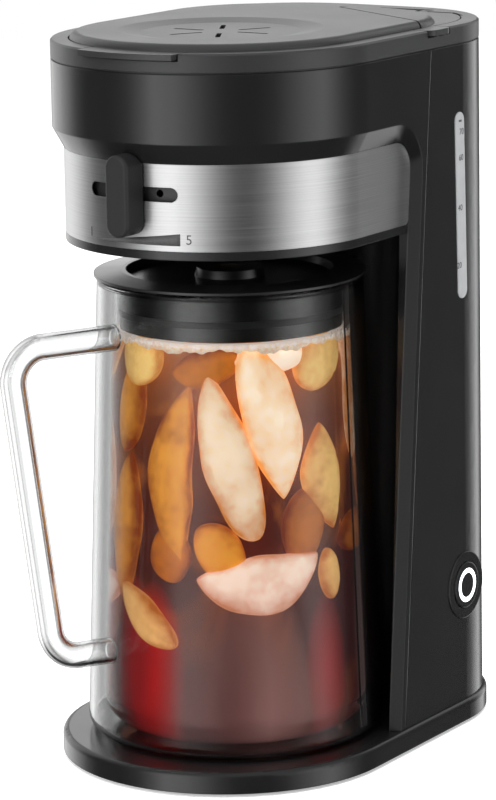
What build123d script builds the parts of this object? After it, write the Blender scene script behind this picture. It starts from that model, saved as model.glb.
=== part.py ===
from build123d import *
from math import cos, radians, sin, sqrt, tan
import os

os.makedirs("parts", exist_ok=True)

# Iced tea maker: a plinth, a rear column with the water tank, a brewing head that overhangs
# the front and a double-walled glass pitcher under it. Millimetres, +Z up, front towards -Y.
# Heights are above the table. Radii and depths are measured from the brewing axis, a vertical
# line through the middle of the head, and depths grow towards the rear.

# Plinth
foot_lift = 1.6
foot_radius = 8.0
foot_side = 24.0
foot_front = 30.0
rear_foot_side = 26.0
rear_foot_setback = 30.0
base_height = 11.2
base_overhang = 2.0
base_edge = 2.6
base_skin = 2.4
cover_thickness = 2.0
screw_radius = 1.5
screw_head_radius = 3.0
screw_boss_wall = 2.4
screw_side = 42.0
screw_front = 54.0
side_screw_side = 14.0
side_screw_setback = 22.0

# Body outline in plan
half_width = 76.0
body_depth = 142.0
rear_corner = 58.0
rear_flare = 3.0
wall = 2.4

# Head, stacked on the pitcher
nozzle_gap = 11.8
nozzle_drop = 3.2
head_lip = 3.8
band_height = 38.0
bevel_height = 9.1
bevel_inset = 5.0
fascia_height = 30.2
rim_depth = 8.9
rim_width = 8.0
bay_corner = 22.0
floor_thickness = 3.0
seam_groove = 0.8

# Column
wing_foot = 25.0
wing_slant = 4.8
wing_bevel = 2.5
seam_gap = 3.8
niche_gap = 1.5
niche_flare = 4.6

# Steel band and strength lever
band_thickness = 0.6
band_foot_corner = 3.0
slot_height = 6.3
slot_drop = 13.3
slot_half_angle = 18.9
slot_turn = -1.5
lever_width = 11.5
lever_height = 36.0
lever_reach = 13.0
lever_clearance = 1.2
lever_stem_height = 5.0
lever_stem_width = 7.0
shutter_thickness = 2.0
shutter_height = 20.0
shutter_half_angle = 33.0
shutter_hole_radius = 1.6
shutter_hole_angle = 9.5
running_gap = 0.5

# Lids
lid_thickness = 3.6
lid_gap = 0.6
crown_rise = 3.0
crown_slope = 4.0
dish_radius = 46.0
dish_slope = 10.0
dish_depth = 1.4
vent_start = 9.0
vent_end = 25.0
vent_width = 2.2
vent_count = 6
split_gap = 0.8
hinge_pin_radius = 1.2
hinge_clearance = 0.05
brew_hinge_setback = 25.0
brew_hinge_left = 46.0
brew_hinge_right = 3.0
tank_hinge_setback = 14.0
tank_hinge_start = 4.0
tank_hinge_length = 26.0
tank_split_gap = 1.6
hinge_ear = 5.0
hinge_room = 0.5
swing_gap = 2.4
swing_zone = 12.0
swing_margin = 1.4
split_left = 0.9
split_front = 16.5
split_right_depth = 56.0
brew_tab_half = 24.5
brew_tab_overhang = 3.6
tab_thickness = 2.6
tab_finger_gap = 0.6
tank_tab_lead = 3.0
tank_tab_width = 19.0
tank_tab_overhang = 1.8
tab_post_radius = 0.9

# Level window and power button, both on the right side
window_width = 8.0
window_length = 86.4
window_drop = 0.5
window_setback = 2.2
window_lean = 1.9
window_proud = 0.4
button_setback = 1.6
button_height = 67.0
button_radius = 11.0
button_gap = 0.3
button_travel = 2.2
button_length = 10.0
button_proud = 1.2
barrel_wall = 1.6
bezel_width = 5.0
bezel_proud = 0.6
light_margin = 3.0
light_width = 2.15
light_depth = 1.5
switch_length = 18.0
switch_size = 24.0

# Water path
tank_gap = 1.5
tank_wall = 2.0
tank_niche_gap = 2.6
tank_riser_gap = 2.5
tank_lift = 7.0
fill_margin = 5.0
deck_thickness = 2.0
basket_radius = 53.0
basket_taper = 8.0
basket_lift = 4.0
basket_drop = 16.1
basket_wall = 2.0
basket_flange = 4.0
filter_wall = 0.8
filter_gap = 1.0
nozzle_radius = 9.0
nozzle_bore = 5.0
tube_radius = 5.0
tube_bore = 3.5
tube_bend = 9.0
arm_bend = 12.0
riser_gap = 2.1
riser_niche_gap = 6.6
outlet_run = 15.0
outlet_setback = 2.0
heater_height = 34.0
heater_length = 47.0
heater_pitch = 24.0
heater_size = 12.0
valve_radius = 6.0
valve_length = 20.0
valve_run = 12.0
valve_gap = 1.8
valve_angle = 52.65
gland_height = 30.0
gland_radius = 7.0
gland_bore = 3.6
gland_flange = 9.5
gland_proud = 1.6
gland_seat = 0.1

# Pitcher
pitcher_depth = 4.4
pitcher_gap = 0.3
pitcher_height = 210.2
pitcher_foot_radius = 68.5
pitcher_narrowing = 8.2
pitcher_foot_edge = 6.0
glass = 2.0
jacket = 5.5
jacket_floor = 1.6
rim_land = 2.6
handle_turn = 25.0
handle_radius = 6.0
handle_wall = 1.8
handle_stand = 54.2
handle_drop = 22.7
handle_lower_stand = 27.0
handle_lift = 45.0
handle_bend = 15.0

# Pitcher lid
pourer_overhang = 1.3
pourer_edge = 1.2
pourer_dish = 1.1
dish_wall = 1.4
pourer_rise = 2.4
pourer_shoulder = 12.6
pourer_crest_width = 3.0
pourer_skirt = 22.7
pourer_wall = 2.2
pourer_gap = 0.5
pourer_lip_reach = 4.9
pourer_lip_width = 26.0
inlet_radius = 15.0
inlet_bore = 6.0
inlet_rise = 2.8
seal_height = 3.0
seal_depth = 1.2

# Heights worked out from the sizes above
foot_z = base_height + pitcher_gap
pitcher_rim = foot_z + pitcher_height
flange_z = pitcher_rim + pourer_gap
pourer_floor = flange_z - pourer_dish
pourer_crest = flange_z + pourer_rise
inlet_top = flange_z + inlet_rise
nozzle_end = inlet_top + nozzle_gap
head_bottom = nozzle_end + nozzle_drop
floor_top = head_bottom + floor_thickness
band_bottom = head_bottom + head_lip
bevel_bottom = band_bottom + band_height
bevel_top = bevel_bottom + bevel_height
rim_bottom = bevel_top + fascia_height
rim_height = rim_bottom + rim_depth
hinge_height = rim_height - lid_thickness
deck_bottom = rim_bottom - deck_thickness
basket_bottom = floor_top + basket_lift
basket_top = deck_bottom - basket_drop
slot_height_middle = bevel_bottom - slot_drop
window_top = bevel_top - window_drop
window_bottom = window_top - window_length
tank_bottom = button_height + switch_size / 2 + tank_lift
handle_top = pitcher_rim - handle_drop
handle_bottom = foot_z + handle_lift

# Radii, depths and distances across worked out from the sizes above
side_end = body_depth - rear_corner
pitcher_rim_radius = pitcher_foot_radius - pitcher_narrowing
niche_foot_radius = pitcher_foot_radius + pitcher_depth + niche_gap
niche_head_radius = niche_foot_radius + niche_flare
handle_reach = pitcher_rim_radius + handle_stand
handle_lower_reach = pitcher_foot_radius + handle_lower_stand
pourer_flange = pitcher_rim_radius + pourer_overhang
pourer_crest_outer = pourer_flange - pourer_shoulder
pourer_crest_inner = pourer_crest_outer - pourer_crest_width
pourer_lip = pourer_flange + pourer_lip_reach
window_depth = side_end - window_setback
button_depth = side_end + button_setback
bezel_radius = button_radius + bezel_width
light_outer = button_radius - light_margin
light_inner = light_outer - light_width
basket_foot_radius = basket_radius - basket_taper
dish_floor_radius = dish_radius - dish_slope
brew_hinge_depth = body_depth - brew_hinge_setback
tank_hinge_depth = body_depth - tank_hinge_setback
split_left_depth = brew_hinge_depth - split_front
tank_hinge_left = brew_hinge_right + tank_hinge_start
tank_hinge_right = tank_hinge_left + tank_hinge_length
tank_split = brew_hinge_right + tank_split_gap
tank_tab_front = split_right_depth - tank_tab_lead
tank_tab_rear = tank_tab_front + tank_tab_width
riser_side = half_width - wall - tube_radius - riser_gap
niche_back = sqrt((niche_head_radius + wall) ** 2 - riser_side**2)
riser_depth = niche_back + tube_radius + riser_niche_gap
tank_front = niche_head_radius + wall + tank_niche_gap
tank_upper_front = riser_depth + tube_radius + tank_riser_gap

# Places worked out from the sizes above
base_rear = body_depth + rear_flare + base_overhang
handle_front = (handle_reach + handle_radius) * cos(radians(handle_turn)) - pitcher_depth
brew_y = (handle_front - base_rear) / 2
wing_slope = tan(radians(wing_slant))
band_inset = bevel_inset + band_thickness
lid_inset = rim_width + lid_gap
hinge_radius = lid_thickness
pin_hole = hinge_pin_radius + hinge_clearance

brew_axis = Axis((0, brew_y, 0), (0, 0, 1))
pitcher_y = brew_y + pitcher_depth
pitcher_axis = Axis((0, pitcher_y, 0), (0, 0, 1))
brew_section = Plane(origin=(0, brew_y, 0), x_dir=(1, 0, 0), z_dir=(0, -1, 0))
pitcher_section = Plane(origin=(0, pitcher_y, 0), x_dir=(1, 0, 0), z_dir=(0, -1, 0))


def level(height):
    """Horizontal plane at a height, centred on the brewing axis."""
    return Plane((0, brew_y, height))


def side(x):
    """Upright plane at x, seen from the right: its x runs to the rear and its y up."""
    return Plane(origin=(x, brew_y, 0), x_dir=(0, 1, 0), z_dir=(1, 0, 0))


def plan(inset=0.0, flare=0.0):
    """Body outline in plan, moved inwards by inset, with its rear moved back by flare."""
    half = half_width - inset
    corner = rear_corner - inset
    rear = body_depth + flare - inset
    with BuildSketch() as outline:
        with BuildLine():
            Line((half, 0), (half, rear - corner))
            CenterArc((half - corner, rear - corner), corner, 0, 90)
            Line((half - corner, rear), (corner - half, rear))
            CenterArc((corner - half, rear - corner), corner, 90, 90)
            Line((-half, rear - corner), (-half, 0))
            CenterArc((0, 0), half, 180, 180)
        make_face()
    return outline.sketch


def wing_line(height):
    """Depth of the wings' outer front edge at a height."""
    return wing_foot + height * wing_slope


def slanted(front, rear, top):
    """Side-view area from the table to top, between the wing slope moved by front and by rear."""
    with BuildSketch() as area:
        with BuildLine():
            Polyline(
                (wing_line(0) + front, 0),
                (wing_line(0) + rear, 0),
                (wing_line(top) + rear, top),
                (wing_line(top) + front, top),
                close=True,
            )
        make_face()
    return area.sketch


def bay_corner_at(inset):
    """Middle (depth, height) and radius of the bay's upper rear corner at a bevel inset."""
    share = inset / bevel_inset
    roof = bevel_top - (bevel_top - bevel_bottom) * share
    radius = bay_corner - (bevel_top - bevel_bottom) * share
    middle = roof - radius
    rear = wing_line(middle) - wing_bevel * share
    return rear - radius / cos(radians(wing_slant)), middle, radius


def bay_straights(inset):
    """Side-view area of the pitcher bay at a bevel inset, with a straight upper rear corner."""
    depth, middle, radius = bay_corner_at(inset)
    slant = radians(wing_slant)
    with BuildSketch() as area:
        with BuildLine():
            Polyline(
                (0, 0),
                (0, middle + radius),
                (depth, middle + radius),
                (depth + radius * cos(slant), middle - radius * sin(slant)),
                (wing_line(0) - wing_bevel * inset / bevel_inset, 0),
                close=True,
            )
        make_face()
    return area.sketch


def bay_round(inset):
    """Circle that rounds the bay's upper rear corner at a bevel inset."""
    depth, middle, radius = bay_corner_at(inset)
    with BuildSketch() as area:
        with Locations((depth, middle)):
            Circle(radius)
    return area.sketch


def niche_radius(height):
    """Radius of the hollow column front behind the pitcher at a height."""
    return niche_foot_radius + (niche_head_radius - niche_foot_radius) * height / head_bottom


def turned(points, axis, section):
    """Solid turned about an upright axis from the points (radius, height) of its section."""
    with BuildPart() as piece:
        with BuildSketch(section):
            with BuildLine():
                Polyline(*points, close=True)
            make_face()
        revolve(axis=axis)
    return piece.part


def across(area, x_from, x_to):
    """Solid of a side-view area between two distances across the body."""
    with BuildPart() as piece:
        with BuildSketch(side(x_from)):
            add(area)
        extrude(amount=x_to - x_from)
    return piece.part


def column_loft(inset, bottom, top):
    """Body outline lofted between two heights, wider at the rear towards the plinth."""
    share = (rim_bottom - bottom) / (rim_bottom - base_height)
    share_top = (rim_bottom - top) / (rim_bottom - base_height)
    with BuildPart() as piece:
        with BuildSketch(level(bottom)):
            add(plan(inset, rear_flare * share))
        with BuildSketch(level(top)):
            add(plan(inset, rear_flare * share_top))
        loft(ruled=True)
    return piece.part


def prism(inset, bottom, top, flare=0.0):
    """Body outline in plan as an upright solid between two heights."""
    with BuildPart() as piece:
        with BuildSketch(level(bottom)):
            add(plan(inset, flare))
        extrude(amount=top - bottom)
    return piece.part


def slab(bottom, top, front, rear, left=-2 * half_width, right=2 * half_width):
    """Rectangular block between heights, depths and distances across."""
    with BuildPart() as piece:
        with BuildSketch(level(bottom)):
            with Locations(((left + right) / 2, (front + rear) / 2)):
                Rectangle(right - left, rear - front)
        extrude(amount=top - bottom)
    return piece.part


def save(piece, name):
    """Label a finished sub-part and write its file."""
    piece.part.label = name
    export_step(piece.part, f"parts/{name}.step")


# Plinth -------------------------------------------------------------------------------------

cover_top = foot_lift + cover_thickness
plinth_ceiling = base_height - base_skin
foot_places = [
    (way * (half_width - inset), depth)
    for inset, depth in (
        (foot_side, -foot_front),
        (rear_foot_side, body_depth - rear_foot_setback),
    )
    for way in (-1, 1)
]
screw_places = [
    (way * (half_width - inset), depth)
    for inset, depth in (
        (screw_side, -screw_front),
        (side_screw_side, side_end - side_screw_setback),
    )
    for way in (-1, 1)
]

with BuildPart() as base_housing:
    add(prism(-base_overhang, foot_lift, base_height, rear_flare))
    fillet(base_housing.faces().sort_by(Axis.Z)[-1].edges(), base_edge)
    add(prism(wall - base_overhang, foot_lift, plinth_ceiling, rear_flare), mode=Mode.SUBTRACT)
    with BuildSketch(level(cover_top)):
        with Locations(*screw_places):
            Circle(screw_radius + screw_boss_wall)
            Circle(screw_radius, mode=Mode.SUBTRACT)
    extrude(amount=plinth_ceiling - cover_top)
save(base_housing, "base_housing")

with BuildPart() as bottom_cover:
    add(prism(wall - base_overhang, foot_lift, cover_top, rear_flare))
    with BuildSketch(level(foot_lift)):
        with Locations(*screw_places):
            Circle(screw_radius)
        with Locations(*foot_places):
            Circle(foot_radius / 2)
    extrude(amount=cover_thickness, mode=Mode.SUBTRACT)
    with BuildSketch(level(foot_lift)):
        with Locations(*screw_places):
            Circle(screw_head_radius)
    extrude(amount=cover_thickness / 2, mode=Mode.SUBTRACT)
save(bottom_cover, "bottom_cover")

with BuildPart() as bottom_screws:
    with BuildSketch(level(foot_lift)):
        with Locations(*screw_places):
            Circle(screw_head_radius)
    extrude(amount=cover_thickness / 2)
    with BuildSketch(level(foot_lift + cover_thickness / 2)):
        with Locations(*screw_places):
            Circle(screw_radius)
    extrude(amount=plinth_ceiling - foot_lift - cover_thickness / 2)
save(bottom_screws, "bottom_screws")

with BuildPart() as rubber_feet:
    with BuildSketch(level(0)):
        with Locations(*foot_places):
            Circle(foot_radius)
    extrude(amount=foot_lift)
    with BuildSketch(level(foot_lift)):
        with Locations(*foot_places):
            Circle(foot_radius / 2)
    extrude(amount=cover_thickness)
save(rubber_feet, "rubber_feet")

# Body shells --------------------------------------------------------------------------------

reach = 3 * body_depth

niche = turned(
    [
        (0, 0),
        (niche_radius(0), 0),
        (niche_radius(head_bottom), head_bottom),
        (0, head_bottom),
    ],
    brew_axis,
    brew_section,
)
niche_wall = turned(
    [
        (0, 0),
        (niche_radius(0) + wall, 0),
        (niche_radius(head_bottom) + wall, head_bottom),
        (niche_radius(head_bottom) + wall, floor_top),
        (0, floor_top),
    ],
    brew_axis,
    brew_section,
)
bay_core = half_width - bevel_inset
bay_slope = (bevel_top - bevel_bottom) / bevel_inset

# The pitcher bay: a block under the roof, a cone in front and a bevelled layer on each side.
with BuildPart() as bay_layer:
    for area in (bay_straights, bay_round):
        with BuildSketch(side(bay_core)):
            add(area(bevel_inset))
        with BuildSketch(side(half_width + 1)):
            add(area(-1))
        loft(ruled=True)

with BuildPart() as bay:
    add(across(bay_straights(bevel_inset), -bay_core, bay_core))
    add(across(bay_round(bevel_inset), -bay_core, bay_core))
    bay_cone = turned(
        [
            (0, 0),
            (half_width + 1, 0),
            (half_width + 1, bevel_top + bay_slope),
            (bay_core, bevel_bottom),
            (0, bevel_bottom),
        ],
        brew_axis,
        brew_section,
    )
    add(bay_cone & slab(0, rim_height, -reach, 0))
    add(bay_layer.part)
    add(mirror(bay_layer.part, about=Plane.YZ))

# The band covers the head's core up to the rounded inner edge of the bevel.
with BuildSketch() as band_area:
    with BuildLine():
        Polyline(
            (-reach, band_bottom),
            (wing_line(band_bottom) - wing_bevel, band_bottom),
            (wing_line(bevel_bottom) - wing_bevel, bevel_bottom),
            (-reach, bevel_bottom),
            close=True,
        )
    make_face()
    fillet(band_area.vertices().sort_by(Axis.X)[-1], bay_corner - bevel_top + bevel_bottom)
    fillet(band_area.vertices().filter_by(lambda v: v.X > 0).sort_by(Axis.Y)[0], band_foot_corner)

with BuildPart() as band_layer:
    add(prism(bevel_inset, band_bottom, bevel_bottom))
    add(prism(band_inset, band_bottom, bevel_bottom), mode=Mode.SUBTRACT)
    add(across(band_area.sketch, -reach, reach), mode=Mode.INTERSECT)

slot_radius = half_width - bevel_inset
slot_half = slot_radius * sin(radians(slot_half_angle))
slot_shift = slot_radius * sin(radians(slot_turn))
slot_plane = Plane(
    origin=(slot_shift, brew_y, slot_height_middle), x_dir=(1, 0, 0), z_dir=(0, -1, 0)
)
with BuildPart() as slot_tool:
    with BuildSketch(slot_plane):
        SlotOverall(2 * slot_half, slot_height)
    extrude(amount=2 * half_width)
with BuildPart() as slot_room:
    with BuildSketch(slot_plane):
        SlotOverall(2 * slot_half + 2 * lever_clearance, slot_height + 2 * lever_clearance)
    extrude(amount=2 * half_width)

front_cut = across(slanted(-reach, seam_gap, rim_height), -reach, reach)
rear_cut = across(slanted(seam_gap, reach, rim_height), -reach, reach)

with BuildPart() as front_hollow:
    add(prism(wall, base_height, rim_bottom))
    add(across(slanted(-reach, wall, bevel_top), -reach, reach), mode=Mode.SUBTRACT)
    add(niche_wall, mode=Mode.SUBTRACT)
    add(prism(band_inset + wall, floor_top, rim_bottom))
    add(prism(wall, bevel_top + wall, rim_bottom))

with BuildPart() as niche_liner:
    add(niche_wall)
    add(niche, mode=Mode.SUBTRACT)
    add(slab(0, base_height, -reach, reach), mode=Mode.SUBTRACT)
    add(across(slanted(-reach, wall, bevel_top), -reach, reach), mode=Mode.SUBTRACT)

with BuildPart() as front_shell:
    add(prism(0, base_height, rim_bottom))
    add(bay.part, mode=Mode.SUBTRACT)
    add(prism(bevel_inset, head_bottom, bevel_bottom))
    add(niche, mode=Mode.SUBTRACT)
    add(front_hollow.part, mode=Mode.SUBTRACT)
    add(band_layer.part, mode=Mode.SUBTRACT)
    add(slot_room.part, mode=Mode.SUBTRACT)
    add(rear_cut, mode=Mode.SUBTRACT)
    add(niche_liner.part)
    with BuildSketch(level(head_bottom)):
        Circle(nozzle_radius)
    extrude(amount=floor_thickness, mode=Mode.SUBTRACT)
save(front_shell, "front_shell")

with BuildPart() as steel_band:
    add(band_layer.part)
    add(slot_tool.part, mode=Mode.SUBTRACT)
save(steel_band, "steel_band")

window_plane = Plane(
    origin=(half_width - wall, brew_y + window_depth, (window_top + window_bottom) / 2),
    x_dir=(0, 1, 0),
    z_dir=(1, 0, 0),
)
button_plane = Plane(
    origin=(half_width, brew_y + button_depth, button_height), x_dir=(0, 1, 0), z_dir=(1, 0, 0)
)
rear_wall = body_depth + rear_flare * (rim_bottom - gland_height) / (rim_bottom - base_height)
gland_plane = Plane(
    origin=(0, brew_y + rear_wall, gland_height), x_dir=(1, 0, 0), z_dir=(0, 1, 0)
)
housing_groove = across(slanted(seam_gap, seam_gap + seam_groove, rim_height), -reach, reach)

with BuildPart() as rear_housing:
    add(column_loft(0, base_height, rim_bottom))
    add(column_loft(wall, base_height, rim_bottom), mode=Mode.SUBTRACT)
    add(front_cut, mode=Mode.SUBTRACT)
    with BuildSketch(window_plane):
        SlotOverall(window_length, window_width, rotation=90 + window_lean)
    extrude(amount=2 * wall, mode=Mode.SUBTRACT)
    with BuildSketch(button_plane.offset(-2 * wall)):
        Circle(bezel_radius)
    extrude(amount=4 * wall, mode=Mode.SUBTRACT)
    with BuildSketch(gland_plane.offset(-2 * wall)):
        Circle(gland_radius)
    extrude(amount=4 * wall, mode=Mode.SUBTRACT)
    with BuildPart(mode=Mode.PRIVATE) as groove:
        add(prism(-1, base_height, rim_height, rear_flare))
        add(prism(seam_groove, base_height, rim_height), mode=Mode.SUBTRACT)
        add(housing_groove, mode=Mode.INTERSECT)
    add(groove.part, mode=Mode.SUBTRACT)
save(rear_housing, "rear_housing")

with BuildPart() as level_window:
    with BuildSketch(window_plane):
        SlotOverall(window_length, window_width, rotation=90 + window_lean)
    extrude(amount=wall + window_proud)
save(level_window, "level_window")

# Top rim and lids ---------------------------------------------------------------------------

brew_rear = brew_hinge_depth + hinge_radius + hinge_room
tank_rear = tank_hinge_depth + hinge_radius + hinge_room
split_slope = (split_right_depth - split_left_depth) / (half_width - split_left)
tab_left = -brew_tab_half
tab_middle = (tank_tab_front + tank_tab_rear) / 2
tab_bottom = rim_height - tab_thickness


def split_line(x):
    """Depth of the diagonal split between the two lids at a distance across."""
    return split_left_depth + (x - split_left) * split_slope


def lid_side(is_brew, gap=0.0):
    """Plan area on one lid's side of the split, moved back from it by half of gap."""
    shift = -gap / 2 if is_brew else gap / 2
    far = reach
    outer_x = -far if is_brew else far
    with BuildSketch() as area:
        with BuildLine():
            if is_brew:
                Polyline(
                    (-far, -far),
                    (far, -far),
                    (far, split_line(far) + shift),
                    (split_left + shift, split_left_depth + shift),
                    (tank_split + shift, brew_hinge_depth),
                    (tank_split + shift, far),
                    (-far, far),
                    close=True,
                )
            else:
                Polyline(
                    (far, far),
                    (tank_split + shift, far),
                    (tank_split + shift, brew_hinge_depth),
                    (split_left + shift, split_left_depth + shift),
                    (far, split_line(far) + shift),
                    close=True,
                )
        make_face()
    return area.sketch


def bounded(rear, left=-2 * half_width, right=2 * half_width):
    """Plan area in front of a depth, between two distances across."""
    with BuildSketch() as area:
        with Locations(((left + right) / 2, rear - reach / 2)):
            Rectangle(right - left, reach)
    return area.sketch


def hinge_round(radius, depth, left, right):
    """Round bar along a lid's hinge line."""
    with BuildPart() as bar:
        with BuildSketch(side(left)):
            with Locations((depth, hinge_height)):
                Circle(radius)
        extrude(amount=right - left)
    return bar.part


def hinge_ears(depth, left, right):
    """The rim's two ears at the ends of a hinge, each joined to the rim behind it."""
    with BuildPart() as ears:
        for start in (left, right - hinge_ear):
            with BuildSketch(side(start)):
                with Locations((depth, hinge_height)):
                    Circle(hinge_radius - hinge_room / 2)
                with Locations((depth + hinge_radius, hinge_height)):
                    Rectangle(2 * hinge_radius, 2 * hinge_radius - hinge_room)
            extrude(amount=hinge_ear)
    return ears.part


def hinge_end(is_brew, left, right, line):
    """Plan area behind a line, between a hinge's outer ear and the side of the body."""
    near = left - lid_gap if is_brew else right + lid_gap
    far = -reach if is_brew else reach
    with BuildSketch() as area:
        with Locations(((near + far) / 2, line + reach / 2)):
            Rectangle(abs(far - near), reach)
    return area.sketch


def pocket(is_brew, depth, rear, left, right):
    """Plan area of a lid's opening in the rim, wider beside the hinge, where the lid swings."""
    area = lid_side(is_brew) & plan(rim_width) & bounded(rear)
    wider = lid_side(is_brew) & plan(rim_width - swing_margin) & bounded(rear)
    area = area + (wider - bounded(depth - swing_zone))
    return area - hinge_end(is_brew, left, right, depth - hinge_radius + swing_gap / 2)


# Crown: the lids swell above the rim, and lie level with it along their hinges. Its profile is
# flat, then falls in an arc that starts level with the flat.
crown_corner = rear_corner - lid_inset
crown_half = half_width - lid_inset
crown_end = brew_hinge_depth - 2 * hinge_radius
crown_turn = crown_end - crown_corner
crown_arc = (crown_slope**2 + crown_rise**2) / (2 * crown_rise)


def crown_profile(half, inner=0.0):
    """Section of the crown from inner to half, with its foot sunk into the lids' plates."""
    sunk = rim_height - lid_thickness / 2
    top = rim_height + crown_rise
    middle = half - crown_slope / 2
    fall = crown_arc - sqrt(crown_arc**2 - (crown_slope / 2) ** 2)
    with BuildSketch() as area:
        with BuildLine():
            Line((inner, sunk), (inner, top))
            Line((inner, top), (half - crown_slope, top))
            ThreePointArc((half - crown_slope, top), (middle, top - fall), (half, rim_height))
            Line((half, rim_height), (half, sunk))
            Line((half, sunk), (inner, sunk))
        make_face()
    return area.sketch


def crown_round(x, depth, half, start, arc):
    """Part of the crown turned about an upright axis, from a start angle in plan."""
    turned_plane = Plane(
        origin=(x, brew_y + depth, 0),
        x_dir=(cos(radians(start)), sin(radians(start)), 0),
        z_dir=(sin(radians(start)), -cos(radians(start)), 0),
    )
    with BuildPart() as piece:
        with BuildSketch(turned_plane):
            add(crown_profile(half))
        revolve(axis=Axis((x, brew_y + depth, 0), (0, 0, 1)), revolution_arc=arc)
    return piece.part


with BuildPart() as crown:
    add(crown_round(0, 0, crown_half, 180, 180))
    for mirrored in (False, True):
        with BuildSketch(Plane(origin=(0, brew_y, 0), x_dir=(1, 0, 0), z_dir=(0, -1, 0))):
            if mirrored:
                add(mirror(crown_profile(crown_half), about=Plane.YZ))
            else:
                add(crown_profile(crown_half))
        extrude(amount=-crown_turn)
    corner_x = crown_half - crown_corner
    add(crown_round(corner_x, crown_turn, crown_corner, 0, 90))
    add(crown_round(-corner_x, crown_turn, crown_corner, 90, 90))
    with BuildSketch(side(-corner_x)):
        with Locations((crown_turn, 0)):
            add(crown_profile(crown_corner))
    extrude(amount=2 * corner_x)

brew_pocket = pocket(True, brew_hinge_depth, brew_rear, -brew_hinge_left, brew_hinge_right)
tank_pocket = pocket(False, tank_hinge_depth, tank_rear, tank_hinge_left, tank_hinge_right)
tab_room = slab(
    tab_bottom - tab_finger_gap,
    rim_height,
    -reach,
    -bay_core + 2 * rim_width,
    tab_left - lid_gap,
    brew_tab_half + lid_gap,
)
tank_tab_room = slab(
    tab_bottom - tab_finger_gap,
    rim_height,
    tank_tab_front - lid_gap,
    tank_tab_rear + lid_gap,
    half_width - 2 * rim_width,
    reach,
)

with BuildPart() as top_rim:
    add(prism(0, rim_bottom, rim_height))
    chamfer(top_rim.faces().sort_by(Axis.Z)[-1].edges(), seam_groove)
    with BuildSketch(level(rim_bottom)):
        add(brew_pocket)
        add(tank_pocket)
    extrude(amount=rim_height - rim_bottom, mode=Mode.SUBTRACT)
    add(tab_room, mode=Mode.SUBTRACT)
    add(tank_tab_room, mode=Mode.SUBTRACT)
    add(hinge_ears(brew_hinge_depth, -brew_hinge_left, brew_hinge_right))
    add(hinge_ears(tank_hinge_depth, tank_hinge_left, tank_hinge_right))
    add(
        hinge_round(hinge_pin_radius, brew_hinge_depth, -brew_hinge_left, brew_hinge_right),
        mode=Mode.SUBTRACT,
    )
    add(
        hinge_round(hinge_pin_radius, tank_hinge_depth, tank_hinge_left, tank_hinge_right),
        mode=Mode.SUBTRACT,
    )
    with BuildPart(mode=Mode.PRIVATE) as rim_groove:
        add(prism(-1, rim_bottom, rim_bottom + seam_groove))
        add(prism(seam_groove, rim_bottom, rim_bottom + seam_groove), mode=Mode.SUBTRACT)
    add(rim_groove.part, mode=Mode.SUBTRACT)
save(top_rim, "top_rim")

with BuildPart() as brew_hinge_pin:
    add(hinge_round(hinge_pin_radius, brew_hinge_depth, -brew_hinge_left, brew_hinge_right))
save(brew_hinge_pin, "brew_hinge_pin")

with BuildPart() as tank_hinge_pin:
    add(hinge_round(hinge_pin_radius, tank_hinge_depth, tank_hinge_left, tank_hinge_right))
save(tank_hinge_pin, "tank_hinge_pin")


def lid_blank(is_brew, hinge_depth, left, right):
    """One lid before its own features: plate, crown, hinge knuckle and room for the ears."""
    with BuildPart() as blank:
        with BuildSketch(level(hinge_height)):
            add(lid_side(is_brew, split_gap) & plan(lid_inset) & bounded(hinge_depth))
            stand = hinge_depth - hinge_radius - swing_gap / 2
            add(hinge_end(is_brew, left, right, stand), mode=Mode.SUBTRACT)
        extrude(amount=lid_thickness)
        with BuildPart(mode=Mode.PRIVATE) as swell:
            with BuildSketch(level(rim_height)):
                add(lid_side(is_brew, split_gap))
            extrude(amount=crown_rise)
            add(crown.part, mode=Mode.INTERSECT)
        add(swell.part)
        knuckle_left = left + hinge_ear + lid_gap
        knuckle_right = right - hinge_ear - lid_gap
        add(hinge_round(hinge_radius, hinge_depth, knuckle_left, knuckle_right))
        # the brew lid's right ear stands at the split, so its room reaches the lid's edge
        right_room = tank_split_gap if is_brew else lid_gap
        for ear_left, ear_right in (
            (left - lid_gap, knuckle_left),
            (knuckle_right, right + right_room),
        ):
            room = hinge_radius + hinge_room
            add(hinge_round(room, hinge_depth, ear_left, ear_right), mode=Mode.SUBTRACT)
            add(
                slab(
                    hinge_height,
                    rim_height + crown_rise,
                    hinge_depth - room,
                    hinge_depth + room,
                    ear_left,
                    ear_right,
                ),
                mode=Mode.SUBTRACT,
            )
        add(hinge_round(pin_hole, hinge_depth, left, right), mode=Mode.SUBTRACT)
    return blank.part


with BuildPart() as brew_lid:
    add(lid_blank(True, brew_hinge_depth, -brew_hinge_left, brew_hinge_right))
    with BuildSketch(level(tab_bottom)):
        Circle(half_width + brew_tab_overhang)
        Circle(half_width - rim_width - 2 * lid_gap, mode=Mode.SUBTRACT)
        add(bounded(0, tab_left, brew_tab_half), mode=Mode.INTERSECT)
    extrude(amount=tab_thickness)
    add(
        turned(
            [
                (0, rim_height + crown_rise - dish_depth),
                (dish_floor_radius, rim_height + crown_rise - dish_depth),
                (dish_radius, rim_height + crown_rise),
                (dish_radius, rim_height + 2 * crown_rise),
                (0, rim_height + 2 * crown_rise),
            ],
            brew_axis,
            brew_section,
        ),
        mode=Mode.SUBTRACT,
    )
    with BuildSketch(level(hinge_height)):
        with PolarLocations((vent_start + vent_end) / 2, vent_count):
            SlotOverall(vent_end - vent_start, vent_width)
    extrude(amount=lid_thickness + crown_rise, mode=Mode.SUBTRACT)
save(brew_lid, "brew_lid")

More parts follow.
